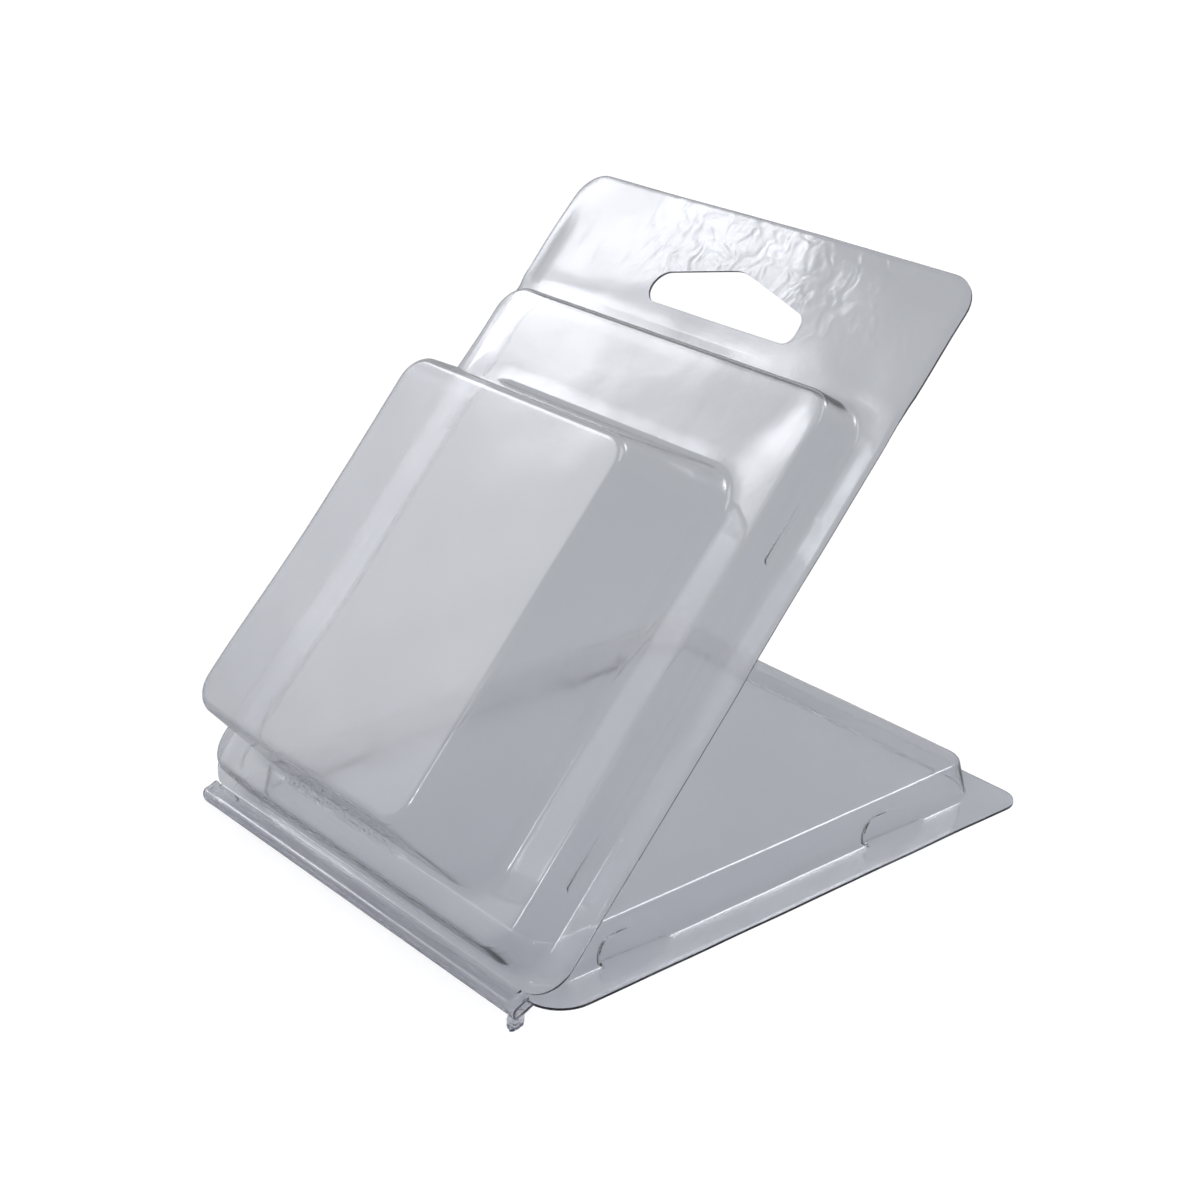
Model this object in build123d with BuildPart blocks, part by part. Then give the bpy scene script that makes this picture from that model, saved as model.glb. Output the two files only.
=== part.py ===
"""Clear plastic clamshell pack, standing open on its back half.

The pack is thermoformed from one sheet. Its back half is a tray with a shallow plug that
fits into the front half when the pack is closed, its front half is a two-step blister with
a hang tab, and a hollow bead between two creases joins the halves along the bottom edge.

Millimetres, +Z up. The origin is on the table, under the middle of the pack as it stands:
+X runs along the hinge, +Y from the hinge towards the tray's far edge.
"""
import os
from math import asin, atan2, cos, degrees, hypot, radians, sin, tan

from build123d import *

# Sheet and outline
sheet = 0.40
width = 85.0
front_length = 118.0
back_length = 97.0
tab_corner = 5.0
far_corner = 4.0
hinge_corner = 6.0

# How the pack stands: the angle between its halves, and where the hinge is
open_angle = 47.5
hinge_y = -43.73

# Hinge bead: a U-shaped channel whose two lips lie beside the creases
crease_setback = 2.6
crease_gap = 0.16
lip_bevel = 0.10
bead_depth = 0.35
bead_left = -42.5
bead_right = 38.0
bead_end_round = 0.9

# The scrap of film torn loose at the bead's right end: points along X and Y from the hinge
torn_scrap = [(36.9, -0.1), (38.4, 1.1), (40.7, -1.5), (40.3, -2.6), (39.2, -2.2), (37.3, -0.7)]
scrap_thickness = 0.25

# First step of the front shell, outside sizes at the flange
step_half_width = 37.5
step_bottom = 3.9
step_top = 95.0
step_height = 7.1
step_draft = 9.0
step_corner = 6.0

# Bubble on the step, outside sizes at its foot and at its face: left, right, bottom, top
bubble_foot = (-29.4, 29.4, 10.0, 78.3)
bubble_face = (-25.3, 25.3, 12.2, 73.3)
bubble_foot_corner = 6.5
bubble_face_corner = 4.5
bubble_height = 17.6

# Plug on the back tray, outside sizes at the flange
plug_half_width = 36.7
plug_near = 4.7
plug_far = 93.3
plug_height = 6.2
plug_draft = 11.0
plug_corner = 5.5

# Rounding of the formed edges, measured on the outside of the sheet
crest_round = 1.0
foot_round = 0.8
bubble_foot_round = 1.0

# Snap recesses in the plug's sides, and the dimples of the front shell that drop into them
snap_places = (22.0, 74.0)
recess_length = 12.0
recess_height = 3.6
recess_depth = 1.2
recess_corner = 2.4
dimple_length = 8.5
dimple_low = 1.2
dimple_high = 3.2
dimple_depth = 0.5

# Hang hole: flat bottom, upright ends and two slopes that meet at a rounded top
hole_half_width = 16.1
hole_bottom = 100.4
hole_shoulder = 105.2
hole_top = 109.2
hole_offset = 0.8

os.makedirs("parts", exist_ok=True)

# The bead hangs below the tray's flange, so the tray leans until its far edge is on the table
half = radians(open_angle / 2)
bead_radius = crease_setback * sin(half)
bead_outer = bead_radius + sheet / 2
bead_y = bead_depth * cos(half)
bead_rise = bead_depth * sin(half) + sheet / 2
reach = hypot(back_length - bead_y, bead_rise)
tilt = degrees(asin(bead_outer / reach) - atan2(bead_rise, back_length - bead_y))
corner_z = back_length * sin(radians(tilt)) + sheet / 2 * cos(radians(tilt))


def leaning(angle):
    """A plane along the hinge, its own Y rising at this angle from the table."""
    a = radians(angle)
    return Plane(origin=(0, hinge_y, corner_z), x_dir=(1, 0, 0), z_dir=(0, -sin(a), cos(a)))


tray_plane = leaning(-tilt)
front_plane = leaning(open_angle - tilt)
bead_angle = open_angle / 2 - tilt


def rounded_box(left, right, bottom, top, corner):
    """A rounded rectangle between four sides, added to the sketch being drawn."""
    with Locations(((left + right) / 2, (bottom + top) / 2)):
        RectangleRounded(right - left, top - bottom, corner)


def edges_at(part, plane, height):
    """The part's edges that lie wholly at one height over a plane."""
    def level(edge):
        box = plane.to_local_coords(edge).bounding_box()
        return abs(box.min.Z - height) < 1e-3 and abs(box.max.Z - height) < 1e-3
    return part.edges().filter_by(level)


def inner_edges(part, plane, height, length):
    """The edges at one height that lie inside the outline of a flange of this length."""
    def inside(edge):
        box = plane.to_local_coords(edge).bounding_box()
        return box.max.X < width / 2 - 1 and box.min.X > 1 - width / 2 and box.max.Y < length - 1 \
            and box.min.Y > crease_setback + 0.5
    return edges_at(part, plane, height).filter_by(inside)


def flange(plane, length, end_corner, low, high, margin):
    """The flat outline of one half between two heights over its plane."""
    near = crease_setback + crease_gap - margin
    far = length + margin
    with BuildPart() as form:
        with BuildSketch(plane.offset(low)) as outline:
            with Locations((0, (near + far) / 2)):
                Rectangle(width + 2 * margin, far - near)
            fillet(outline.vertices().sort_by(Axis.Y)[2:], end_corner)
            fillet(outline.vertices().sort_by(Axis.Y)[:2], hinge_corner)
        extrude(amount=high - low)
    return form.part


def notch(plane, side, place, length, low, high, face, foot_corner, top_corner):
    """The outline of a notch in one side wall, drawn on the notch's flat back."""
    across = Plane(origin=plane.from_local_coords(Vector(side * face, place, 0)),
                   x_dir=plane.y_dir * side, z_dir=plane.x_dir * side)
    with BuildSketch(across) as outline:
        with Locations((0, (low + high) / 2)):
            Rectangle(length, high - low)
        fillet(outline.vertices().sort_by(Axis.Y)[2:], top_corner)
        if foot_corner > 0:
            fillet(outline.vertices().sort_by(Axis.Y)[:2], foot_corner)
    return outline.sketch


def tray_form(inset):
    """The tray's flange and plug as a solid; with an inset of one sheet, the space below them."""
    flare = sheet * tan(radians(plug_draft)) - inset / cos(radians(plug_draft))
    half_width = plug_half_width + flare
    floor = sheet / 2 - inset
    crest = plug_height + sheet / 2 - inset
    with BuildPart() as form:
        if inset == 0:
            add(flange(tray_plane, back_length, far_corner, -sheet / 2, sheet / 2, 0))
        else:
            add(flange(tray_plane, back_length, far_corner, -sheet / 2 - 2, -sheet / 2, 1))
        with BuildSketch(tray_plane.offset(-sheet / 2)):
            rounded_box(-half_width, half_width, plug_near - flare, plug_far + flare,
                        plug_corner - inset)
        extrude(amount=crest + sheet / 2, taper=plug_draft)
        fillet(edges_at(form.part, tray_plane, crest), crest_round - inset)
        fillet(inner_edges(form.part, tray_plane, floor, back_length), foot_round + inset)
        for side in (-1, 1):
            for place in snap_places:
                recess = notch(tray_plane, side, place, recess_length + 2 * inset,
                               floor, sheet / 2 + recess_height + inset,
                               plug_half_width - recess_depth - inset, 0, recess_corner + inset)
                extrude(recess, amount=4, mode=Mode.SUBTRACT)
    return form.part


def front_form(inset):
    """The front half's flange, step and bubble as a solid; with an inset, the space behind them."""
    flare = sheet * tan(radians(step_draft)) - inset / cos(radians(step_draft))
    half_width = step_half_width + flare
    floor = sheet / 2 - inset
    plateau = sheet / 2 + step_height - inset
    face = plateau + bubble_height
    thinning = -0.8 * inset
    with BuildPart() as form:
        if inset == 0:
            add(flange(front_plane, front_length, tab_corner, -sheet / 2, sheet / 2, 0))
        else:
            add(flange(front_plane, front_length, tab_corner, -sheet / 2 - 2, -sheet / 2, 1))
        with BuildSketch(front_plane.offset(-sheet / 2)):
            rounded_box(-half_width, half_width, step_bottom - flare, step_top + flare,
                        step_corner - inset)
        extrude(amount=plateau + sheet / 2, taper=step_draft)
        fillet(edges_at(form.part, front_plane, plateau), crest_round - inset)
        fillet(inner_edges(form.part, front_plane, floor, front_length), foot_round + inset)
        for height, outline, corner in ((plateau, bubble_foot, bubble_foot_corner),
                                        (face, bubble_face, bubble_face_corner)):
            left, right, bottom, top = outline
            with BuildSketch(front_plane.offset(height)):
                rounded_box(left - thinning, right + thinning, bottom - thinning, top + thinning,
                            corner + thinning)
        loft()
        fillet(edges_at(form.part, front_plane, face), crest_round - inset)
        foot = edges_at(form.part, front_plane, plateau).sort_by(step_distance)
        fillet(foot[:8], bubble_foot_round + inset)
        for side in (-1, 1):
            for place in snap_places:
                dimple = notch(front_plane, side, place, dimple_length + 2 * inset,
                               dimple_low - inset, dimple_high + inset,
                               step_half_width - dimple_depth - inset, 0.9, 0.9)
                extrude(dimple, amount=4, mode=Mode.SUBTRACT)
    return form.part


def step_distance(edge):
    """How far an edge's middle is from the middle of the bubble's foot, in its own plane."""
    left, right, bottom, top = bubble_foot
    middle = front_plane.to_local_coords(edge).center(CenterOf.BOUNDING_BOX)
    across = abs(middle.X - (left + right) / 2) / (right - left)
    along = abs(middle.Y - (bottom + top) / 2) / (top - bottom)
    return max(across, along)


def hang_hole():
    """The outline of the hang hole, just behind the front half."""
    with BuildSketch(front_plane.offset(-sheet)) as outline:
        with BuildLine():
            Polyline((hole_offset - hole_half_width, hole_bottom),
                     (hole_offset + hole_half_width, hole_bottom),
                     (hole_offset + hole_half_width, hole_shoulder),
                     (hole_offset, hole_top),
                     (hole_offset - hole_half_width, hole_shoulder), close=True)
        make_face()
        fillet(outline.vertices(), 1.9)
    return outline.sketch


def channel(inset, left, right):
    """The bead as a solid, round along its front and at its left end; with an inset, its hollow."""
    radius = bead_outer - inset
    lip = crease_setback * cos(half) - crease_gap + 4 * inset
    a = radians(bead_angle)
    section = Plane(origin=(left, hinge_y, corner_z), x_dir=(0, cos(a), sin(a)), z_dir=(1, 0, 0))
    with BuildPart() as form:
        with BuildSketch(section) as outline:
            with BuildLine():
                Polyline((bead_depth, radius), (lip, radius), (lip, -radius), (bead_depth, -radius))
                RadiusArc((bead_depth, -radius), (bead_depth, radius), radius)
            make_face()
            chamfer(outline.vertices().sort_by(Axis.X)[-2:], lip_bevel)
        extrude(amount=right - left)
        left_end = form.faces().sort_by(Axis.X)[0]
        by_depth = sorted(left_end.edges(), key=lambda e: section.to_local_coords(e).center().X)
        fillet(by_depth[:3], bead_end_round - inset)
    return form.part


with BuildPart() as back_tray:
    add(tray_form(0))
    add(tray_form(sheet), mode=Mode.SUBTRACT)
back_tray.part.label = "back_tray"
export_step(back_tray.part, "parts/back_tray.step")

with BuildPart() as front_shell:
    add(front_form(0))
    add(front_form(sheet), mode=Mode.SUBTRACT)
    extrude(hang_hole(), amount=2 * sheet, mode=Mode.SUBTRACT)
front_shell.part.label = "front_shell"
export_step(front_shell.part, "parts/front_shell.step")

with BuildPart() as living_hinge:
    add(channel(0, bead_left, bead_right))
    add(channel(sheet, bead_left + sheet, bead_right + sheet), mode=Mode.SUBTRACT)
    with BuildSketch(Plane.XY):
        with BuildLine():
            Polyline([(x, hinge_y + y) for x, y in torn_scrap], close=True)
        make_face()
    extrude(amount=scrap_thickness)
living_hinge.part.label = "living_hinge"
export_step(living_hinge.part, "parts/living_hinge.step")
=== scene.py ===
# %% [markdown]
# # A clear plastic clamshell pack, standing open
#
# The real pack is one sheet of clear film, drawn by heat and vacuum over a mould and then
# die-cut. Nothing on it is printed, so everything that is seen is the form of the sheet and
# what its gloss and its edges do with the light. This lesson builds that one sheet as
# surfaces worked out with numpy, gives it the film's thickness, and lights it so that the
# clear walls can be read.

import bmesh
import bpy
import numpy as np
from mathutils import Matrix, Vector


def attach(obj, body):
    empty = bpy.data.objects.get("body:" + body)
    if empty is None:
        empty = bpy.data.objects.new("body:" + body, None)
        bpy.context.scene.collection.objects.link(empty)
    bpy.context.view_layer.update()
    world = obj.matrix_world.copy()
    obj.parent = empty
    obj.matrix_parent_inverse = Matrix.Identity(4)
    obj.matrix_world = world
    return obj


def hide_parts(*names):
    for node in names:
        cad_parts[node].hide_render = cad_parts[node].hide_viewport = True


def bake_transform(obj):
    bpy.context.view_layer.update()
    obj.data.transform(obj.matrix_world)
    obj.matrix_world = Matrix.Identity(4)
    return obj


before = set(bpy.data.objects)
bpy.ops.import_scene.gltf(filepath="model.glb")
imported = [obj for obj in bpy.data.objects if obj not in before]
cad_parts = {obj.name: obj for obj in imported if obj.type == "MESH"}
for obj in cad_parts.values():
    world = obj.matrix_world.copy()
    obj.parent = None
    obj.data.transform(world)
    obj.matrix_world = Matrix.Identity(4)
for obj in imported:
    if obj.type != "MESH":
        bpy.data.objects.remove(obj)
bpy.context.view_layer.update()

# %% [markdown]
# ## The sizes of the sheet
#
# All sizes are millimetres and describe the middle of the film, half a thickness inside the
# outer faces. Each half of the pack has its own flat coordinates: across (along the hinge),
# along (away from the hinge) and up (out of the half's flat flange).

# %% Sizes
MM = 0.001
film = 0.40
half_width = 42.5
crease = 2.6
tray_length = 97.0
front_length = 118.0
open_angle = np.radians(47.5)
tray_lean = np.radians(0.53705)
hinge_y = -43.73
hinge_z = tray_length * np.sin(tray_lean) + film / 2 * np.cos(tray_lean)
bisector = open_angle / 2 - tray_lean
fold = open_angle / 2
fold_radius = 0.7
fold_tangent = fold_radius * np.tan(fold / 2)
flange_start = crease + fold_tangent
seam_back = 0.6
snap_places = (22.0, 74.0)
snap_ends = (-6.0, -4.25, 4.25, 6.0)


def placed(points, angle):
    """Points of a half put on the table: across stays X, and the along-up plane is turned by
    an angle about the line where the two halves' flanges would meet, then moved to that line."""
    across, along, up = points[..., 0], points[..., 1], points[..., 2]
    y = hinge_y + along * np.cos(angle) - up * np.sin(angle)
    z = hinge_z + along * np.sin(angle) + up * np.cos(angle)
    return np.stack([across, y, z], axis=-1) * MM


TRAY_ANGLE = -tray_lean
FRONT_ANGLE = open_angle - tray_lean
print(f"hinge line at y {hinge_y:.2f}, z {hinge_z:.2f} mm")
print(f"front leans at {np.degrees(FRONT_ANGLE):.2f} degrees")

# %% [markdown]
# ## Loops, walls and patches
#
# A formed box such as a blister could be extruded and bevelled, but its corners would then
# be cut up by the bevel and its flat faces left as single polygons, which can't take the
# slight waviness of real film. Here every form is a stack of closed loops. Each loop is a
# rounded rectangle with the same number of points, so two neighbouring loops always make
# clean four-sided faces, and the profile of the wall says where each loop lies.

# %% A loop
def side_points(x, low, high, count):
    """count + 1 points up a side, closer together round the ends of the snaps: even steps of
    the running sum of 1 + 5 exp(-(distance / 0.8)^2), with the distance to each end."""
    fine = np.linspace(low, high, 800)
    near = sum(np.exp(-((fine - place - end) / 0.8) ** 2) for place in snap_places for end in snap_ends)
    total = np.concatenate([[0], np.cumsum(1 + 5 * near)[:-1]])
    y = np.interp(np.linspace(0, total[-1], count + 1), total, fine)
    return np.stack([np.full_like(y, x), y], axis=-1)


def quarter(count, squareness):
    """A quarter turn from (1, 0) to (0, 1) as count points, its end left out. The point at an
    angle is the circle's point (squareness 0), or that point pushed out to the square's edge
    (squareness 1): divided by the larger of its two coordinates."""
    angle = np.linspace(0, np.pi / 2, count, endpoint=False)
    point = np.stack([np.cos(angle), np.sin(angle)], axis=-1)
    reach = point.max(axis=-1, keepdims=True)
    return point / (1 - squareness + squareness * reach)


def loop(box, radii, counts, square=(0, 0, 0, 0)):
    """A closed loop of points round a box (left, right, bottom, top), counter-clockwise from
    the left end of the bottom side. radii and square go round the corners from bottom right.
    counts are the points on a bottom or top side, on an upright side and on a corner."""
    left, right, bottom, top = box
    along_x, along_y, on_corner = counts
    br, tr, tl, bl = radii
    t_x = np.linspace(0, 1, along_x, endpoint=False)[:, None]
    turns = [np.array(turn) for turn in (
        [[0, -1], [1, 0]], [[1, 0], [0, 1]], [[0, 1], [-1, 0]], [[-1, 0], [0, -1]])]
    centres = ((right - br, bottom + br), (right - tr, top - tr),
               (left + tl, top - tl), (left + bl, bottom + bl))
    corners = [np.array(c) + r * quarter(on_corner, s) @ m
               for c, r, s, m in zip(centres, radii, square, turns)]
    sides = [np.array((left + bl, bottom)) + t_x * np.array((right - br - left - bl, 0)),
             side_points(right, bottom + br, top - tr, along_y)[:-1],
             np.array((right - tr, top)) - t_x * np.array((right - tr - left - tl, 0)),
             side_points(left, bottom + bl, top - tl, along_y)[:0:-1]]
    return np.concatenate([part for pair in zip(sides, corners) for part in pair])


def at_height(outline, up):
    """A flat loop of points lifted to a height: a third coordinate is added."""
    return np.concatenate([outline, np.full((len(outline), 1), float(up))], axis=-1)


def between(first, last, shares):
    """Loops on the straight way from one loop to another, at the given shares of it."""
    share = np.asarray(shares, float)[:, None, None]
    return first[None] * (1 - share) + last[None] * share


# %% A formed wall
def wall_profile(height, draft, foot_radius, crest_radius, rows):
    """The cross-section of a formed wall as (outset, height) pairs. Outset is measured
    outwards from the wall's own straight line, which leans by the draft angle. The foot is
    an arc tangent to the flange and to the wall, the crest an arc tangent to the wall and to
    the top, and each arc's tangents are radius x tan((90 - draft) / 2) long."""
    sweep = np.pi / 2 - draft
    foot_rows, wall_rows, crest_rows = rows
    foot_tangent = foot_radius * np.tan(sweep / 2)
    crest_tangent = crest_radius * np.tan(sweep / 2)
    a = np.linspace(0, sweep, foot_rows)
    foot = np.stack([foot_tangent - foot_radius * np.sin(a), foot_radius * (1 - np.cos(a))], axis=-1)
    b = np.linspace(sweep, 0, crest_rows)
    crest = np.stack([crest_radius * np.sin(b) - crest_tangent - height * np.tan(draft),
                      height - crest_radius * (1 - np.cos(b))], axis=-1)
    straight = foot[-1] + np.linspace(0, 1, wall_rows + 2)[1:-1, None] * (crest[0] - foot[-1])
    profile = np.concatenate([foot, straight, crest])
    profile[:, 0] += profile[:, 1] * np.tan(draft)
    return profile


def formed_wall(foot_box, foot_corner, face_box, face_corner, base, profile, counts):
    """The loops of a wall from its foot to its crest. At a share of the height each side is
    that share of the way from the foot's box to the face's box, then moved out by the
    profile's outset; a corner's radius grows with the outset, as a parallel line's does."""
    height = profile[-1, 1]
    rows = []
    for outset, up in profile:
        share = up / height
        box = [a + (b - a) * share + outset * way
               for a, b, way in zip(foot_box, face_box, (-1, 1, -1, 1))]
        corner = foot_corner + (face_corner - foot_corner) * share + outset
        rows.append(at_height(loop(box, (corner,) * 4, counts), base + up))
    return np.stack(rows)


def shrunk(box, amount):
    """A box with every side moved in by an amount."""
    left, right, bottom, top = box
    return (left + amount, right - amount, bottom + amount, top - amount)


# %% A patch that closes the last loop
def patch(ring, counts):
    """The inside of a loop as a grid. Its four sides run between the middles of the loop's
    corners, and each inner point is Coons' sum: the blend of left and right plus the blend
    of bottom and top, less the blend of the four corner points."""
    along_x, along_y, on_corner = counts
    middle = on_corner // 2
    n_x, n_y = along_x + on_corner, along_y + on_corner
    ring = np.roll(ring, middle, axis=0)
    bottom = ring[:n_x + 1]
    right = ring[n_x:n_x + n_y + 1]
    top = ring[n_x + n_y:2 * n_x + n_y + 1][::-1]
    left = np.concatenate([ring[2 * n_x + n_y:], ring[:1]])[::-1]
    a = np.linspace(0, 1, n_x + 1)[None, :, None]
    b = np.linspace(0, 1, n_y + 1)[:, None, None]
    blend_x = left[:, None] * (1 - a) + right[:, None] * a
    blend_y = bottom[None] * (1 - b) + top[None] * b
    low_corners = bottom[0] * (1 - a) + bottom[-1] * a
    high_corners = top[0] * (1 - a) + top[-1] * a
    return blend_x + blend_y - (low_corners * (1 - b) + high_corners * b)


# %% [markdown]
# ## Waviness
#
# Formed film is never quite flat: it cools unevenly and springs out of the mould, so its
# flat faces hold long, shallow waves. They are a fraction of a tenth of a millimetre high
# and yet they are what bends every reflection. They belong in the mesh, because a bump map
# would leave the outline and the exported shape dead flat.

# %% Waves
def waves(across, along, length, seed, count=9):
    """A smooth uneven field of about -1 to 1: the sum of sine waves of one rough length in
    seeded directions and phases, divided by the root of half their number."""
    draw = np.random.default_rng(seed)
    heading = draw.uniform(0, 2 * np.pi, count)
    phase = draw.uniform(0, 2 * np.pi, count)
    stretch = draw.uniform(0.7, 1.4, count)
    total = np.zeros_like(across)
    for h, p, s in zip(heading, phase, stretch):
        total = total + np.sin(2 * np.pi / (length * s) * (across * np.cos(h) + along * np.sin(h)) + p)
    return total / np.sqrt(count / 2) / 2


def smooth_step(low, high, value):
    """0 below low, 1 above high, and the cubic 3t^2 - 2t^3 between them."""
    t = np.clip((value - low) / (high - low), 0, 1)
    return t * t * (3 - 2 * t)


# %% [markdown]
# ## From loops to film
#
# The loops are stitched into one mesh of the film's middle. Points that two grids share are
# merged, so that the sheet is whole, and Solidify then gives it its 0.4 mm. The finished
# mesh is kept in place of the modifier, so that sharp die-cut edges can be marked in it.

# %% Stitching grids
def grid_faces(rows, columns, closed, start):
    """The four-sided faces of a grid of points as an array of point numbers, wound so that
    they face up where columns run counter-clockwise and rows run inwards."""
    number = start + np.arange(rows * columns).reshape(rows, columns)
    following = np.roll(number, -1, axis=1)
    if not closed:
        number, following = number[:, :-1], following[:, :-1]
    return np.stack([number[:-1], following[:-1], following[1:], number[1:]], axis=-1).reshape(-1, 4)


def clear_seams(mesh):
    """Where two pieces meet in a leg of the bead, the rim isn't a cut edge: faces nearer to
    the hinge's line than the folds are, and between the rounded corners, get the first finish."""
    centres = np.zeros(3 * len(mesh.polygons))
    mesh.polygons.foreach_get("center", centres)
    x, y, z = centres.reshape(-1, 3).T / MM
    finish = np.zeros(len(mesh.polygons), int)
    mesh.polygons.foreach_get("material_index", finish)
    near = np.hypot(y - hinge_y, z - hinge_z) < crease + fold_tangent
    finish[near & (x > 2.3 - half_width) & (x < half_width - 5.5)] = 0
    mesh.polygons.foreach_set("material_index", finish)


def thin_where_drawn(piece, angle):
    """A vertex group with each point's share of the film's thickness: 1 on the flange, down to
    0.4 where the film was drawn up from it by 8 mm. The shares are set in steps of 0.005."""
    points = np.zeros(3 * len(piece.data.vertices))
    piece.data.vertices.foreach_get("co", points)
    x, y, z = points.reshape(-1, 3).T / MM
    up = (z - hinge_z) * np.cos(angle) - (y - hinge_y) * np.sin(angle)
    level = np.round(200 * (1 - 0.6 * smooth_step(0.5, 8.0, up))).astype(int)
    group = piece.vertex_groups.new(name="thickness")
    for value in np.unique(level):
        group.add(np.flatnonzero(level == value).tolist(), value / 200, "REPLACE")
    return group.name


def film_mesh(name, grids, finishes, angle=None):
    """One solid piece of film from grids of points in place, each given as (points, closed).
    Its faces get the first finish and its die-cut rims the second. With the angle of its half
    it thins where it was drawn. A crumpled piece has no angle and is thickened without the
    even offset, which would run out into spikes at its folds."""
    points, faces, start = [], [], 0
    for grid, closed in grids:
        rows, columns = grid.shape[:2]
        points.append(grid.reshape(-1, 3))
        faces.append(grid_faces(rows, columns, closed, start))
        start += rows * columns
    mesh = bpy.data.meshes.new(name)
    mesh.from_pydata(np.concatenate(points).tolist(), [], np.concatenate(faces).tolist())
    sheet = bmesh.new()
    sheet.from_mesh(mesh)
    bmesh.ops.remove_doubles(sheet, verts=sheet.verts, dist=0.004 * MM)
    sheet.to_mesh(mesh)
    sheet.free()
    for finish in finishes:
        mesh.materials.append(finish)
    piece = bpy.data.objects.new(name, mesh)
    bpy.context.scene.collection.objects.link(piece)
    wall = piece.modifiers.new("thickness", "SOLIDIFY")
    wall.thickness = film * MM
    wall.offset = 0
    wall.use_even_offset = angle is not None
    if angle is not None:
        wall.vertex_group = thin_where_drawn(piece, angle)
    wall.use_quality_normals = True
    wall.material_offset_rim = 1
    bpy.context.view_layer.update()
    solid = bpy.data.meshes.new_from_object(piece.evaluated_get(bpy.context.evaluated_depsgraph_get()))
    piece.modifiers.clear()
    piece.vertex_groups.clear()
    piece.data = solid
    solid.name = name
    solid.polygons.foreach_set("use_smooth", np.ones(len(solid.polygons), bool))
    solid.set_sharp_from_angle(angle=np.radians(40))
    clear_seams(solid)
    print(name, len(solid.vertices), "points,", len(solid.polygons), "faces")
    return piece


# %% [markdown]
# ## The finish of the film
#
# Clear film has almost no colour of its own. What makes it look like film is gloss with a
# very fine unevenness in it, a faint haze where it was handled, and a violet-grey cast that
# only shows where much of it lies in line, as at a cut edge. The cut edges are coloured
# darker still than that cast, as painted shade for the dark lines that refraction gives them.
# Glass with a rough surface would do for a bottle, but film keeps a sharp reflection, so its
# roughness is small and only varies. The three effects are node groups, because every finish
# here uses them.

# %% Film effects
def new_group(name, inputs, output, kind):
    """An empty shader node group with number inputs, given as (name, value), and one output."""
    group = bpy.data.node_groups.new(name, "ShaderNodeTree")
    for label, value in inputs:
        socket = group.interface.new_socket(name=label, in_out="INPUT", socket_type="NodeSocketFloat")
        socket.default_value = value
    group.interface.new_socket(name=output, in_out="OUTPUT", socket_type=kind)
    return group, group.nodes.new("NodeGroupInput"), group.nodes.new("NodeGroupOutput")


def noise(group, place, scale, detail=3.0, stretch=None):
    """A noise pattern on a place socket, its scale a socket or a number per metre, and the
    place stretched first where a direction is wanted."""
    if stretch:
        mapping = group.nodes.new("ShaderNodeMapping")
        mapping.inputs["Scale"].default_value = stretch
        group.links.new(place, mapping.inputs["Vector"])
        place = mapping.outputs["Vector"]
    node = group.nodes.new("ShaderNodeTexNoise")
    node.inputs["Detail"].default_value = detail
    group.links.new(place, node.inputs["Vector"])
    if isinstance(scale, (int, float)):
        node.inputs["Scale"].default_value = scale
    else:
        group.links.new(scale, node.inputs["Scale"])
    return node.outputs["Fac"]


def ranged(group, value, low, high, to_low, to_high):
    """A value moved from one range to another and held there; each end is a number or a socket."""
    node = group.nodes.new("ShaderNodeMapRange")
    for socket, end in zip(node.inputs[1:5], (low, high, to_low, to_high)):
        if isinstance(end, (int, float)):
            socket.default_value = end
        else:
            group.links.new(end, socket)
    group.links.new(value, node.inputs["Value"])
    return node.outputs["Result"]


def film_ripple():
    """Height of the fine unevenness of a formed sheet: long drawn waves and a finer peel."""
    group, given, made = new_group("film_ripple", (("Waves", 140.0), ("Peel", 900.0)),
                                   "Height", "NodeSocketFloat")
    place = group.nodes.new("ShaderNodeTexCoord").outputs["Object"]
    add = group.nodes.new("ShaderNodeMath")
    add.operation = "MULTIPLY_ADD"
    add.inputs[1].default_value = 0.15
    group.links.new(noise(group, place, given.outputs["Peel"], 2.0), add.inputs[0])
    group.links.new(noise(group, place, given.outputs["Waves"], 1.0), add.inputs[2])
    group.links.new(add.outputs[0], made.inputs["Height"])
    return group


def film_haze():
    """Roughness of handled film: between a clear and a hazy value in soft patches, with fine
    rubbed streaks that add a little more."""
    group, given, made = new_group("film_haze", (("Clear", 0.05), ("Hazy", 0.12), ("Streaks", 0.05)),
                                   "Roughness", "NodeSocketFloat")
    place = group.nodes.new("ShaderNodeTexCoord").outputs["Object"]
    patches = ranged(group, noise(group, place, 55.0), 0.42, 0.68,
                     given.outputs["Clear"], given.outputs["Hazy"])
    rubbed = noise(group, place, 260.0, 4.0, stretch=(3.0, 0.35, 0.35))
    streaks = ranged(group, rubbed, 0.60, 0.72, 0.0, given.outputs["Streaks"])
    add = group.nodes.new("ShaderNodeMath")
    group.links.new(patches, add.inputs[0])
    group.links.new(streaks, add.inputs[1])
    group.links.new(add.outputs[0], made.inputs["Roughness"])
    return group


def film_tint():
    """Colour of the sheet: a clear tone and a deeper violet-grey one, mixed in soft noise patches."""
    group, given, made = new_group("film_tint", (("Depth", 0.5),), "Color", "NodeSocketColor")
    place = group.nodes.new("ShaderNodeTexCoord").outputs["Object"]
    share = ranged(group, noise(group, place, 38.0, 2.0), 0.35, 0.7, 0.0, given.outputs["Depth"])
    mix = group.nodes.new("ShaderNodeMix")
    mix.data_type = "RGBA"
    mix.inputs["A"].default_value = (0.985, 0.985, 0.99, 1)
    mix.inputs["B"].default_value = (0.80, 0.81, 0.88, 1)
    group.links.new(share, mix.inputs["Factor"])
    group.links.new(mix.outputs["Result"], made.inputs["Color"])
    return group


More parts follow.
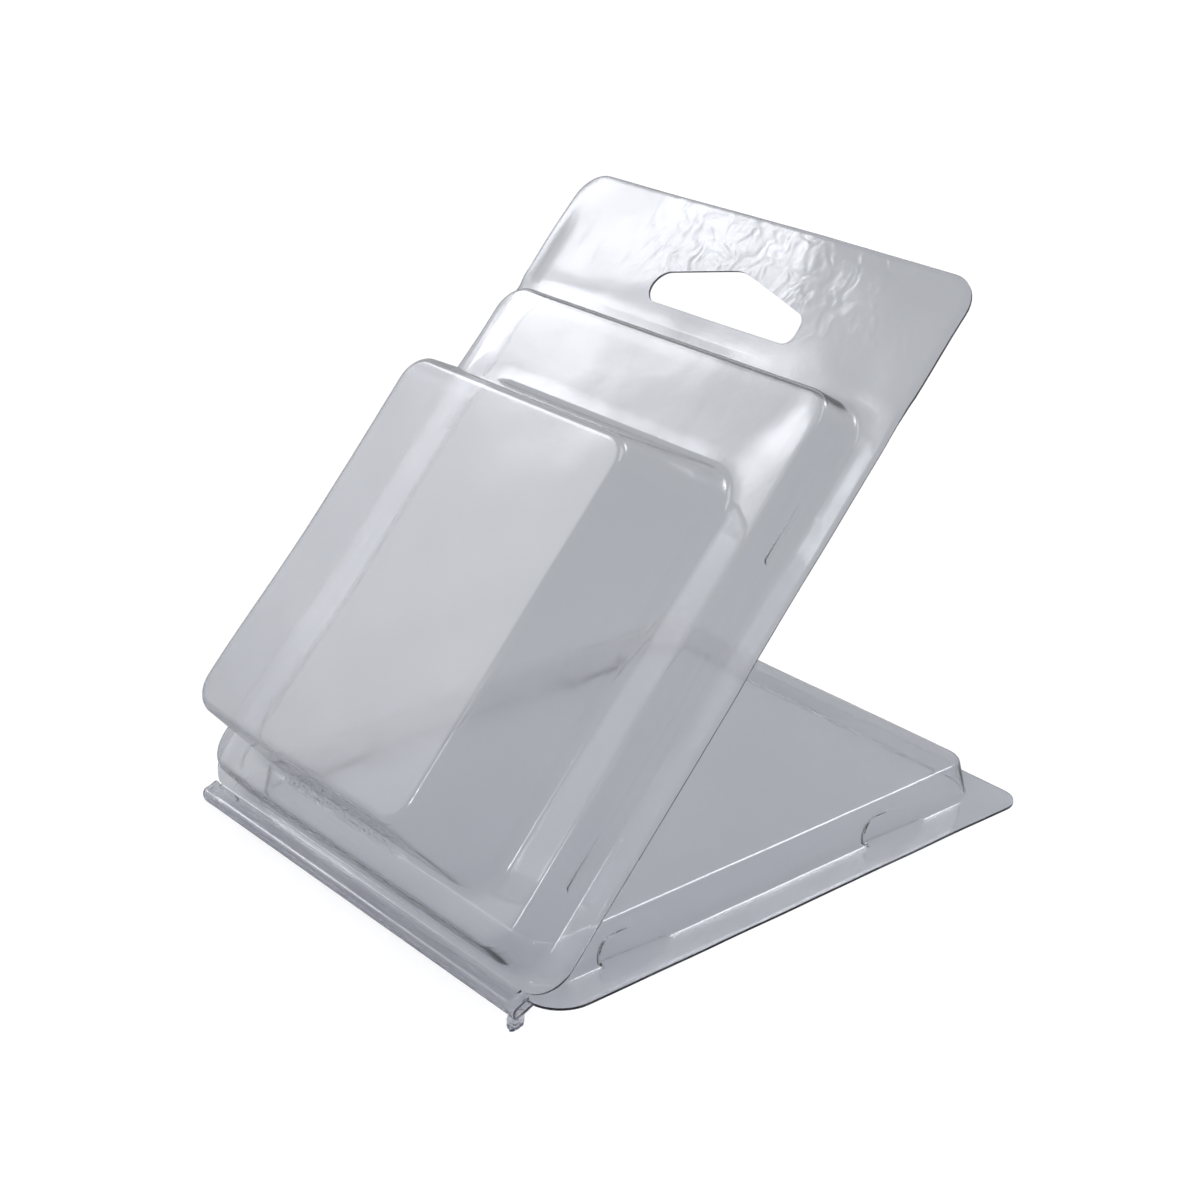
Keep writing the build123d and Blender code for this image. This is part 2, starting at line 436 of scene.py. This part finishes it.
def reach_along(group, place, start):
    """Distance along the front from its hinge, less a start, in metres: the dot product of the
    place with the front's own direction, less that of the hinge."""
    way = np.array([0, np.cos(FRONT_ANGLE), np.sin(FRONT_ANGLE)])
    dot = group.nodes.new("ShaderNodeVectorMath")
    dot.operation = "DOT_PRODUCT"
    dot.inputs[1].default_value = way
    group.links.new(place, dot.inputs[0])
    less = group.nodes.new("ShaderNodeMath")
    less.operation = "SUBTRACT"
    less.inputs[1].default_value = float(way @ (0, hinge_y, hinge_z) + start) * MM
    group.links.new(dot.outputs["Value"], less.inputs[0])
    return less.outputs[0]


def times(group, first, second):
    """The product of two values, each a number or a socket."""
    node = group.nodes.new("ShaderNodeMath")
    node.operation = "MULTIPLY"
    for socket, value in zip(node.inputs, (first, second)):
        if isinstance(value, (int, float)):
            socket.default_value = value
        else:
            group.links.new(value, socket)
    return node.outputs[0]


def front_marks():
    """Height of the marks that only the front has: swirls in the hang tab, which was clamped
    while the film was warm, and a crinkle along the foot of the bubble's lower wall, where
    the film was drawn the furthest. Each is a noise times where it lies."""
    group, given, made = new_group("front_marks", (("Swirls", 1.0), ("Crinkle", 1.0)),
                                   "Height", "NodeSocketFloat")
    place = group.nodes.new("ShaderNodeTexCoord").outputs["Object"]
    split = group.nodes.new("ShaderNodeSeparateXYZ")
    group.links.new(place, split.inputs[0])
    across = split.outputs["X"]
    swirl = noise(group, place, 290.0, 1.0)
    swirl.node.inputs["Distortion"].default_value = 1.2
    on_tab = ranged(group, reach_along(group, place, 101.0), 0.0, 0.005, 0.0, 1.0)
    middle = times(group, ranged(group, across, -0.032, -0.016, 0.2, 1.0),
                   ranged(group, across, 0.016, 0.036, 1.0, 0.25))
    swirls = times(group, times(group, times(group, swirl, on_tab), middle), given.outputs["Swirls"])
    to_line = group.nodes.new("ShaderNodeVectorMath")
    to_line.operation = "MULTIPLY"
    to_line.inputs[1].default_value = (0, 1, 1)
    group.links.new(place, to_line.inputs[0])
    gap = group.nodes.new("ShaderNodeVectorMath")
    gap.operation = "DISTANCE"
    gap.inputs[1].default_value = placed(np.array([0.0, 9.6, 7.5]), FRONT_ANGLE)
    group.links.new(to_line.outputs[0], gap.inputs[0])
    near = ranged(group, gap.outputs["Value"], 0.0004, 0.0010, 1.0, 0.0)
    length = times(group, ranged(group, across, -0.021, -0.016, 0.0, 1.0),
                   ranged(group, across, 0.006, 0.012, 1.0, 0.0))
    crinkled = noise(group, place, 620.0, 2.0, stretch=(1.0, 1.6, 1.6))
    crinkle = times(group, times(group, times(group, crinkled, near), length), given.outputs["Crinkle"])
    add = group.nodes.new("ShaderNodeMath")
    group.links.new(swirls, add.inputs[0])
    group.links.new(crinkle, add.inputs[1])
    group.links.new(add.outputs[0], made.inputs["Height"])
    return group


RIPPLE, HAZE, TINT, MARKS = film_ripple(), film_haze(), film_tint(), front_marks()

# %% [markdown]
# Each finish is a Principled shader as glass, for which a Transparent one steps in when a
# shadow is worked out, so that the film's shadow is as pale as a real film's.

# %% Film finishes
def film_material(name, roughness, waves_height, depth, shade=(0.90, 0.90, 0.92), tint=None, peel=900.0,
                  marks=None):
    """A clear film. roughness is (clear, hazy, streaks), waves_height the ripple in metres and
    depth how far the tint may go; a tint given replaces the group's colour, and marks are the
    swirls and the crinkle of the front in ripple heights."""
    material = bpy.data.materials.new(name)
    material.use_nodes = True
    tree = material.node_tree
    shader = tree.nodes["Principled BSDF"]
    shader.inputs["IOR"].default_value = 1.56
    shader.inputs["Transmission Weight"].default_value = 1.0
    used = {}
    for group, values in ((RIPPLE, {"Peel": peel}), (TINT, {"Depth": depth}),
                          (HAZE, dict(zip(("Clear", "Hazy", "Streaks"), roughness)))):
        used[group] = tree.nodes.new("ShaderNodeGroup")
        used[group].node_tree = group
        for label, value in values.items():
            used[group].inputs[label].default_value = value
    bump = tree.nodes.new("ShaderNodeBump")
    bump.inputs["Distance"].default_value = waves_height
    height = used[RIPPLE].outputs["Height"]
    if marks:
        own = tree.nodes.new("ShaderNodeGroup")
        own.node_tree = MARKS
        own.inputs["Swirls"].default_value, own.inputs["Crinkle"].default_value = marks
        both = tree.nodes.new("ShaderNodeMath")
        tree.links.new(height, both.inputs[0])
        tree.links.new(own.outputs["Height"], both.inputs[1])
        height = both.outputs[0]
    tree.links.new(height, bump.inputs["Height"])
    tree.links.new(bump.outputs["Normal"], shader.inputs["Normal"])
    tree.links.new(used[HAZE].outputs["Roughness"], shader.inputs["Roughness"])
    if tint:
        shader.inputs["Base Color"].default_value = (*tint, 1)
    else:
        tree.links.new(used[TINT].outputs["Color"], shader.inputs["Base Color"])
    light_path = tree.nodes.new("ShaderNodeLightPath")
    clear = tree.nodes.new("ShaderNodeBsdfTransparent")
    clear.inputs["Color"].default_value = (*shade, 1)
    mix = tree.nodes.new("ShaderNodeMixShader")
    tree.links.new(light_path.outputs["Is Shadow Ray"], mix.inputs[0])
    tree.links.new(shader.outputs[0], mix.inputs[1])
    tree.links.new(clear.outputs[0], mix.inputs[2])
    tree.links.new(mix.outputs[0], tree.nodes["Material Output"].inputs["Surface"])
    return material


clear_film = film_material("clear_film", (0.05, 0.10, 0.05), 0.00003, 0.10)
front_film = film_material("front_film", (0.06, 0.12, 0.05), 0.00003, 0.12, marks=(2.2, 12.0))
bead_film = film_material("bead_film", (0.09, 0.18, 0.10), 0.00004, 0.35, peel=1500.0)
# The cut edges' colour is the film's violet tint, darkened well past it as painted shade for the dark
# lines along the rims.
cut_edge_tint_and_painted_shade = film_material("cut_edge_tint_and_painted_shade", (0.22, 0.34, 0.10), 0.00008, 0.5, tint=(0.42, 0.43, 0.58))
print("finishes:", [m.name for m in (clear_film, front_film, bead_film, cut_edge_tint_and_painted_shade)])

# %% [markdown]
# ## The back tray
#
# The tray is a flat flange with a shallow plug that fills the front half when the pack is
# shut. Two recesses in each side of the plug catch dimples in the front half, which is what
# holds such a pack closed. A recess is not cut in: where it lies, the wall's loops are
# simply moved inwards, as the real film was pushed in by the mould.

# %% Back tray
COUNTS = (60, 120, 10)


def pushed_in(points, places, length, low, high, corner, side_face, edge, rise=0.0):
    """The side walls moved in to a flat face where a rounded rectangle of the wall's own
    along-up plane covers them. Inside is 1 at a depth of edge inside the rectangle's rounded
    outline and 0 outside it, and a point moves that share of its way to the face. The face
    comes out by rise for each millimetre from the hinge, so that it runs out flush."""
    inside, face = 0, side_face
    for place in places:
        dx = np.abs(points[..., 1] - place) - (length / 2 - corner)
        dz = np.abs(points[..., 2] - (low + high) / 2) - ((high - low) / 2 - corner)
        outside = np.hypot(np.maximum(dx, 0), np.maximum(dz, 0))
        distance = outside + np.minimum(np.maximum(dx, dz), 0) - corner
        inside = np.maximum(inside, 1 - smooth_step(-edge, edge, distance))
        ahead = points[..., 1] - place + length / 2
        face = face + np.where(np.abs(ahead - length / 2) < length, rise * ahead, 0)
    out = points.copy()
    reach = np.abs(points[..., 0])
    moved = reach + (np.minimum(face, reach) - reach) * inside
    out[..., 0] = np.where(reach > side_face - 1, np.sign(points[..., 0]) * moved, points[..., 0])
    return out


plug_foot = shrunk((-36.7, 36.7, 4.7, 93.3), 0.17)
plug_height = 6.2
plug_draft = np.radians(11)
plug_face = shrunk(plug_foot, plug_height * np.tan(plug_draft))
plug_profile = wall_profile(plug_height, plug_draft, 1.0, 0.8, (6, 22, 6))
plug_corner = 5.4
plug_wall = formed_wall(plug_foot, plug_corner, plug_face, plug_corner - plug_height * np.tan(plug_draft),
                        0, plug_profile, COUNTS)
tray_rim = at_height(loop((-half_width, half_width, flange_start, tray_length), (6, 4, 4, 6), COUNTS), 0)
recessed = pushed_in(plug_wall, snap_places, length=12.0, low=-8.0, high=3.8, corner=2.6,
                     side_face=35.35, edge=0.2, rise=0.055)
tray_flange = between(tray_rim, recessed[0], (0, 0.03, 0.2, 0.45, 0.75, 1))
tray_top = patch(plug_wall[-1], COUNTS)


def tray_waves(points):
    """The tray's height with long shallow waves added, fading out towards the hinge."""
    x, y = points[..., 0], points[..., 1]
    lift = 0.10 * waves(x, y, 46, 11) + 0.03 * waves(x, y, 17, 12)
    out = points.copy()
    out[..., 2] += lift * smooth_step(3, 14, y)
    return out


def in_section(x, forward, across):
    """Points of the hinge's cross-section in place: forward runs from the nose's centre line
    to the pack along the line that halves the opening angle, across runs up from it."""
    y = hinge_y + forward * np.cos(bisector) - across * np.sin(bisector)
    z = hinge_z + forward * np.sin(bisector) + across * np.cos(bisector)
    return np.stack([x + 0 * y, y, z], axis=-1) * MM


bead_radius = crease * np.sin(fold)
lip = crease * np.cos(fold)
turned = np.linspace(fold, 0, 7)
fold_forward = lip + fold_tangent * np.cos(fold) + fold_radius * (np.sin(fold - turned) - np.sin(fold))
fold_across = fold_radius * (np.cos(fold - turned) - np.cos(fold))
fold_across = fold_across - bead_radius - fold_tangent * np.sin(fold)
leg_end = [lip - seam_back, lip - (seam_back + fold_tangent) / 2]
strip_forward = np.concatenate([leg_end, fold_forward])[:, None]
strip_across = np.concatenate([[-bead_radius, -bead_radius], fold_across])[:, None]


def fold_strip(rim, side):
    """The film from its seam in the bead's leg round the fold to a half's flange: an arc
    tangent to both, under each point of the rim's straight side. side is -1 for the tray,
    whose fold lies below the middle line, and 1 for the front."""
    straight = rim[:COUNTS[0] + 1, 0][None]
    return in_section(straight, strip_forward + 0 * straight, -side * strip_across + 0 * straight)


tray_parts = [(tray_flange, True), (recessed, True), (tray_top, False)]
tray_grids = [(placed(tray_waves(p), TRAY_ANGLE), c) for p, c in tray_parts]
back_tray = film_mesh("back_tray_film", tray_grids + [(fold_strip(tray_rim, -1), False)],
                      (clear_film, cut_edge_tint_and_painted_shade), TRAY_ANGLE)

# %% [markdown]
# ## The front shell
#
# The front is drawn deeper, in two steps: a low step that takes the tray's plug, and the
# bubble that holds the product. Above them the flange runs on into the hang tab. The tab is
# its own grid of loops, from its outline in to the outline of the hang hole.

# %% Front shell
step_foot = shrunk((-37.5, 37.5, 3.9, 95.0), 0.17)
step_height = 7.1
step_draft = np.radians(9)
step_face = shrunk(step_foot, step_height * np.tan(step_draft))
step_profile = wall_profile(step_height, step_draft, 1.0, 0.8, (6, 20, 7))
step_corner = 5.9
step_wall = formed_wall(step_foot, step_corner, step_face, step_corner - step_height * np.tan(step_draft),
                        0, step_profile, COUNTS)
dimpled = pushed_in(step_wall, snap_places, length=9.5, low=1.4, high=2.9, corner=0.7,
                    side_face=36.60, edge=0.32, rise=0.02)

bubble_height = 17.6
bubble_profile = wall_profile(bubble_height, np.radians(12), 1.2, 1.1, (6, 9, 8))
bubble_wall = formed_wall(shrunk((-29.4, 29.4, 10.0, 78.3), 0.16), 6.3,
                          shrunk((-25.3, 25.3, 12.2, 73.3), 0.16), 4.3,
                          step_height, bubble_profile, COUNTS)
plateau = between(step_wall[-1], bubble_wall[0], np.linspace(0, 1, 7))
bubble_face = patch(bubble_wall[-1], COUNTS)

tab_start = 97.6
tab_corner = 5.0
collar = at_height(loop((-half_width, half_width, flange_start, tab_start), (6, 6, 6, 2.5),
                        COUNTS, (0, 1, 1, 0)), 0)
front_flange = between(collar, step_wall[0], (0, 0.03, 0.25, 0.6, 1))
tab_counts = (COUNTS[0], 18, COUNTS[2])
tab_rim = at_height(loop((-half_width, half_width, tab_start, front_length),
                         (6, tab_corner, tab_corner, 6), tab_counts, (1, 0, 0, 1)), 0)


def hang_hole_outline(counts):
    """The hang hole's outline with a point for each point of the tab's rim: a rounded box
    whose top side is lifted into a roof. The lift is the roof's rise times one less the
    distance from the middle, with a square root that rounds the ridge."""
    middle, half, bottom, shoulder, top = 0.8, 16.1, 100.4, 105.2, 109.2
    outline = loop((middle - half, middle + half, bottom, shoulder), (1.9, 1.5, 2.3, 2.3), counts)
    distance = np.sqrt(((outline[:, 0] - middle) / half) ** 2 + 0.004)
    upper = smooth_step(bottom + 1.9, shoulder, outline[:, 1])
    outline[:, 1] += upper * (top + 0.2 - shoulder) * np.clip(1.0 - distance, 0, 1)
    return at_height(outline, 0)


hole_rim = hang_hole_outline(tab_counts)
tab = between(tab_rim, hole_rim, np.concatenate([[0, 0.02], np.linspace(0.07, 0.97, 16), [1]]))
burr = 0.06
tab[0, :, 2] -= burr * (tab[0, :, 1] > tab_start + 0.3)
side_rim = (abs(front_flange[0, :, 0]) > half_width - 0.1) & (front_flange[0, :, 1] < tab_start - 0.3)
front_flange[0, :, 2] -= burr * side_rim


def front_waves(points):
    """The front's height with long waves added everywhere above the hinge. The hang tab, where
    the film is thin and was clamped, has shorter ripples, a low ridge right of its middle, a
    shallow trough along the step's top and a left edge that curls. The step's top sinks to the
    right and domes up again at its corner, its left strip curls up, and the lower left corner
    bulges outwards."""
    x, y, up = points[..., 0], points[..., 1], points[..., 2]
    lift = 0.09 * waves(x, y, 44, 21) + 0.02 * waves(x, y, 15, 22)
    ripple = 0.05 * waves(x, y, 14, 23) * (0.4 + 0.6 * smooth_step(-22, -8, x))
    ridge = 0.50 * np.exp(-np.hypot(x - 12, 1.5) / 16) * smooth_step(96, 114, y)
    width = 1.3 + 2.4 * smooth_step(-36, -8, x)
    trough = -(0.09 + 0.07 * smooth_step(-36, -8, x)) * np.exp(-((y - 98.2) / width) ** 2)
    trough = trough * (1 - smooth_step(6, 20, x))
    curl = 0.36 * (1 - smooth_step(-half_width, -38.2, x)) * (1 - smooth_step(103, 116, y))
    strip = 0.14 * np.clip(-29.6 - x, 0, 3.4) - 0.05 * np.clip(-33 - x, 0, 4)
    strip = strip * (1 - smooth_step(76, 86, y)) * smooth_step(1, 5, up)
    corner = 0.30 * smooth_step(31, 42, x) * np.exp(-((y - 95) / 4) ** 2) * (1 - smooth_step(0.5, 3, up))
    shift = 4.0 * smooth_step(82, 91, y)
    dome = 0.295 * smooth_step(25, 36, x - shift) * smooth_step(40, 82, y) * smooth_step(1, 5, up)
    begins = -8 + 14 * smooth_step(79, 90, y)
    sink = -0.32 * smooth_step(0, 1, (x - begins) / (26 - begins))
    sink = sink * smooth_step(50, 84, y) * smooth_step(1, 5, up) * (1 - smooth_step(7.3, 10, up))
    flare = 0.30 * smooth_step(37.6, half_width, x) * smooth_step(50, 58, y)
    flare = flare * (1 - 0.35 * smooth_step(68, 78, y)) * (1 - smooth_step(86, 95, y))
    out = points.copy()
    out[..., 2] += lift * smooth_step(3, 14, y) + ripple * smooth_step(96, 101, y)
    out[..., 2] += (trough + curl) * smooth_step(96.2, 97.2, y) + ridge
    out[..., 2] += strip + corner + dome + sink + flare
    out[..., 0] -= 1.35 * smooth_step(12, 27, -x) * (1 - smooth_step(14, 44, y)) * smooth_step(2.8, 6.5, y)
    return out


front_parts = [(front_flange, True), (dimpled, True), (plateau, True), (bubble_wall, True),
               (bubble_face, False), (tab, True)]
front_grids = [(placed(front_waves(p), FRONT_ANGLE), c) for p, c in front_parts]
front_shell = film_mesh("front_shell_film", front_grids + [(fold_strip(collar, 1), False)],
                        (front_film, cut_edge_tint_and_painted_shade), FRONT_ANGLE)

# %% [markdown]
# ## The hinge bead
#
# Between the two creases the film is formed into a hollow bead, so that the pack can stand
# by itself. Its section is a U that opens towards the halves. It is closed and rounded at
# its left end and torn open at its right.

# %% Hinge bead
bead_depth = 0.35
bend = np.linspace(-np.pi / 2, np.pi / 2, 21)
leg_share = np.linspace(1, 0, 7)[:-1]
turn_share = -np.cos(bend)
along_bead = np.concatenate([-42.3 + 1.1 * (1 - np.cos(np.linspace(0, np.pi / 2, 10)[:-1])),
                             np.linspace(-41.2, 36.4, 160)[:-1], np.linspace(36.4, 38.2, 16)])[:, None]


def leg(left):
    """A leg of the bead: it ends at the seam from a left end on to 36.5, and at the lip beyond."""
    joined = smooth_step(left - 0.4, left, along_bead) * (1 - smooth_step(36.5, 36.9, along_bead))
    return bead_depth + (lip - 0.02 - (seam_back - 0.02) * joined - bead_depth) * leg_share


u_forward = np.concatenate([leg(-36.5), bead_depth + bead_radius * turn_share + 0 * along_bead,
                            leg(-40.0)[:, ::-1]], axis=1)
u_across = np.concatenate([-1 + 0 * leg_share, np.sin(bend), 1 + 0 * leg_share])[None] * bead_radius
u_across = u_across + 0 * along_bead

closing = np.sqrt(np.clip(1 - ((-41.2 - along_bead) / 1.12).clip(0) ** 2, 0, 1))
crushed = smooth_step(36.4, 38.0, along_bead)
flared = 1 + 0.25 * (1 - smooth_step(-41.0, -37.0, along_bead)) * (1 - smooth_step(-0.4, 1.2, u_forward))
underside = 1 - smooth_step(-1.0, -0.3, u_across / bead_radius)
nose = smooth_step(0.0, 0.9, bead_depth - u_forward)
whole_bead = along_bead + 0 * u_across
worn = (0.002 + 0.08 * underside * nose) * waves(whole_bead, 4 * u_across, 6.5, 31)
torn = 0.20 * crushed * waves(whole_bead, 1.5 * u_across, 1.9, 32)
centre = 1.2
bead_grid = in_section(whole_bead,
                       centre + (u_forward - centre) * closing - worn + torn,
                       u_across * closing * (1 - 0.25 * crushed) * flared + torn)

# %% [markdown]
# The right end of the bead has torn: a scrap of film hangs from it and curls on the table.
# It is the same sheet, so it is part of the bead's mesh and starts inside its end.

# %% Torn scrap
u = np.linspace(0, 1, 22)[:, None]
v = np.linspace(-1, 1, 13)[None]
half_scrap = 0.55 + 0.75 * np.sin(np.pi * u ** 0.8) ** 0.7 - 0.25 * u
ragged = 0.16 * waves(7 * u + 0 * v, 3 * v + 0 * u, 1.6, 41)
scrap_x = 37.3 + 2.6 * u + (half_scrap * v + ragged) * 0.72
scrap_y = hinge_y + 0.45 - 2.7 * u ** 1.1 + (half_scrap * v + ragged) * 0.69
scrap_curl = 0.55 * np.maximum(v * (u - 0.35), 0) ** 1.2
scrap_z = 0.26 + 0.75 * (1 - smooth_step(0, 0.6, u)) + scrap_curl + 0.10 * ragged
scrap_grid = np.stack([scrap_x + 0 * v, scrap_y + 0 * v, scrap_z + 0 * v], axis=-1) * MM
bead = film_mesh("hinge_bead_film", [(bead_grid, False), (scrap_grid, False)], (bead_film, cut_edge_tint_and_painted_shade))

# %% [markdown]
# ## Bodies
#
# The bead moves with the model's living hinge. The tray's and the front's pieces stay where
# they were built, and the model's own parts for all three are hidden.

# %% Riding
for piece, body, side in ((back_tray, "back_tray", -1), (front_shell, "front_shell", 1)):
    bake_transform(piece)
    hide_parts(body)
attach(bead, "living_hinge")
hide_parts("living_hinge")

# %% [markdown]
# ## The floor
#
# The pack stands on a plain sheet of paper that looks white in the picture. White paper under
# a strong lamp would do, but the lamp would also wash out the clear film. So the paper is a
# middle grey to the light that goes on to the film, and to the camera it has the same shadows
# on a brighter colour, chosen by the Light Path node.

# %% Stage
floor_mesh = bpy.data.meshes.new("floor")
floor_mesh.from_pydata([(-3, -3, 0), (3, -3, 0), (3, 3, 0), (-3, 3, 0)], [], [(0, 1, 2, 3)])
floor = bpy.data.objects.new("floor", floor_mesh)
bpy.context.scene.collection.objects.link(floor)
paper = bpy.data.materials.new("pale_paper")
paper.use_nodes = True
tree = paper.node_tree
tree.nodes["Principled BSDF"].inputs["Base Color"].default_value = (0.468, 0.484, 0.502, 1)
tree.nodes["Principled BSDF"].inputs["Roughness"].default_value = 0.9
tree.nodes["Principled BSDF"].inputs["Specular IOR Level"].default_value = 0.0
path = tree.nodes.new("ShaderNodeLightPath")
lit = tree.nodes.new("ShaderNodeBsdfDiffuse")
lit.inputs["Color"].default_value = (0.42, 0.42, 0.42, 1)
white = tree.nodes.new("ShaderNodeEmission")
white.inputs["Strength"].default_value = 0.68
seen = tree.nodes.new("ShaderNodeAddShader")
tree.links.new(lit.outputs[0], seen.inputs[0])
tree.links.new(white.outputs[0], seen.inputs[1])
mix = tree.nodes.new("ShaderNodeMixShader")
tree.links.new(path.outputs["Is Camera Ray"], mix.inputs[0])
tree.links.new(tree.nodes["Principled BSDF"].outputs[0], mix.inputs[1])
tree.links.new(seen.outputs[0], mix.inputs[2])
tree.links.new(mix.outputs[0], tree.nodes["Material Output"].inputs["Surface"])
floor_mesh.materials.append(paper)

# %% [markdown]
# ## Studio light
#
# Clear film is seen by what it mirrors. The real pack stood in an even, pale room with a few
# soft lamps, and each flat of the film shows one of them or none. Area lamps could be hung
# for each, but they would also light the floor, so the soft lamps are drawn in the world as
# bright spots with soft edges, each in the direction that a flat mirrors to the camera.

# %% Studio light
world = bpy.data.worlds.new("studio")
bpy.context.scene.world = world
world.use_nodes = True
tree = world.node_tree
way = tree.nodes.new("ShaderNodeTexCoord")


def direction(azimuth, elevation):
    """The unit vector of a compass azimuth, from -Y towards +X, and an elevation in degrees."""
    a, e = np.radians(azimuth), np.radians(elevation)
    return Vector((np.sin(a) * np.cos(e), -np.cos(a) * np.cos(e), np.sin(e)))


def calculate(operation, *values):
    """A Math node whose inputs are numbers or the outputs of other nodes."""
    node = tree.nodes.new("ShaderNodeMath")
    node.operation = operation
    for socket, value in zip(node.inputs, values):
        if isinstance(value, (int, float)):
            socket.default_value = value
        else:
            tree.links.new(value, socket)
    return node.outputs[0]


def along(vector):
    """How far the direction of the world reaches along a vector."""
    node = tree.nodes.new("ShaderNodeVectorMath")
    node.operation = "DOT_PRODUCT"
    node.inputs[1].default_value = vector
    tree.links.new(way.outputs["Generated"], node.inputs[0])
    return node.outputs["Value"]


def soft_lamp(azimuth, elevation, wide, high, strength, power=1.0):
    """A soft-edged lamp in the world: strength x exp(-((u/wide)^2 + (v/high)^2)^power), where u
    and v are the direction's parts across and up the lamp, on the lamp's own side only. A
    power above 1 gives an even middle and a quicker edge."""
    front = direction(azimuth, elevation)
    across = Vector((np.cos(np.radians(azimuth)), np.sin(np.radians(azimuth)), 0))
    up = front.cross(across) * -1
    u = calculate("DIVIDE", along(across), float(np.sin(np.radians(wide))))
    v = calculate("DIVIDE", along(up), float(np.sin(np.radians(high))))
    square = calculate("ADD", calculate("MULTIPLY", u, u), calculate("MULTIPLY", v, v))
    fade = calculate("EXPONENT", calculate("MULTIPLY", calculate("POWER", square, power), -1.0))
    facing = calculate("GREATER_THAN", along(front), 0.0)
    return calculate("MULTIPLY", calculate("MULTIPLY", fade, facing), strength)


# azimuth, elevation, wide, high, strength and, for the window, power
lamps = {"window": (-71.3, 37.0, 7.0, 5.0, 4.4, 2.0), "halo": (-62.5, 32.5, 11.5, 10.0, 1.5),
         "behind": (166.0, 51.0, 10.0, 9.0, 9.0), "spark": (12.0, 38.5, 5.0, 3.0, 20.0)}
room_level = 0.47
total = room_level
for lamp in lamps.values():
    total = calculate("ADD", total, soft_lamp(*lamp))
background = tree.nodes["Background"]
background.inputs["Color"].default_value = (0.985, 0.988, 1.025, 1)
tree.links.new(total, background.inputs["Strength"])
white = tree.nodes.new("ShaderNodeBackground")
white.inputs["Color"].default_value = (1, 1, 1, 1)
path = tree.nodes.new("ShaderNodeLightPath")
mix = tree.nodes.new("ShaderNodeMixShader")
tree.links.new(path.outputs["Is Camera Ray"], mix.inputs[0])
tree.links.new(background.outputs[0], mix.inputs[1])
tree.links.new(white.outputs[0], mix.inputs[2])
tree.links.new(mix.outputs[0], tree.nodes["World Output"].inputs["Surface"])


def softbox(name, toward, distance, width, height, power, aim=(0, 0, 0.04)):
    """A rectangular studio lamp in a direction from the pack, turned to face it."""
    lamp = bpy.data.lights.new(name, "AREA")
    lamp.shape = "RECTANGLE"
    lamp.size = width
    lamp.size_y = height
    lamp.energy = power
    holder = bpy.data.objects.new(name, lamp)
    bpy.context.scene.collection.objects.link(holder)
    line = Vector(toward).normalized()
    holder.location = Vector(aim) + line * distance
    holder.rotation_euler = (-line).to_track_quat("-Z", "Y").to_euler()
    return holder


top = softbox("top", toward=(0.1, -0.2, 1.0), distance=1.6, width=0.9, height=0.9, power=4)
print("lamps in the world:", list(lamps), "and a softbox:", top.name)

# %% [markdown]
# ## Camera
#
# The photograph was taken from the right and a little above. The lens and the place were
# found by fitting the corners of the pack, so the camera is given as its three directions.

# %% Camera
camera_data = bpy.data.cameras.new("camera")
camera_data.sensor_width = 36
camera_data.lens = 70.546
camera_data.clip_start = 0.01
camera = bpy.data.objects.new("camera", camera_data)
bpy.context.scene.collection.objects.link(camera)
right = Vector((0.63827, 0.769735, -0.0109317))
down = Vector((0.308501, -0.268770, -0.912464))
forward = Vector((-0.705293, 0.579025, -0.409012))
turn = Matrix((right, -down, -forward)).transposed().to_4x4()
eye = (0.250355, -0.202860, 0.180432)
camera.matrix_world = Matrix.Translation(eye) @ turn
bpy.context.scene.camera = camera
bpy.context.scene.view_settings.view_transform = "Standard"
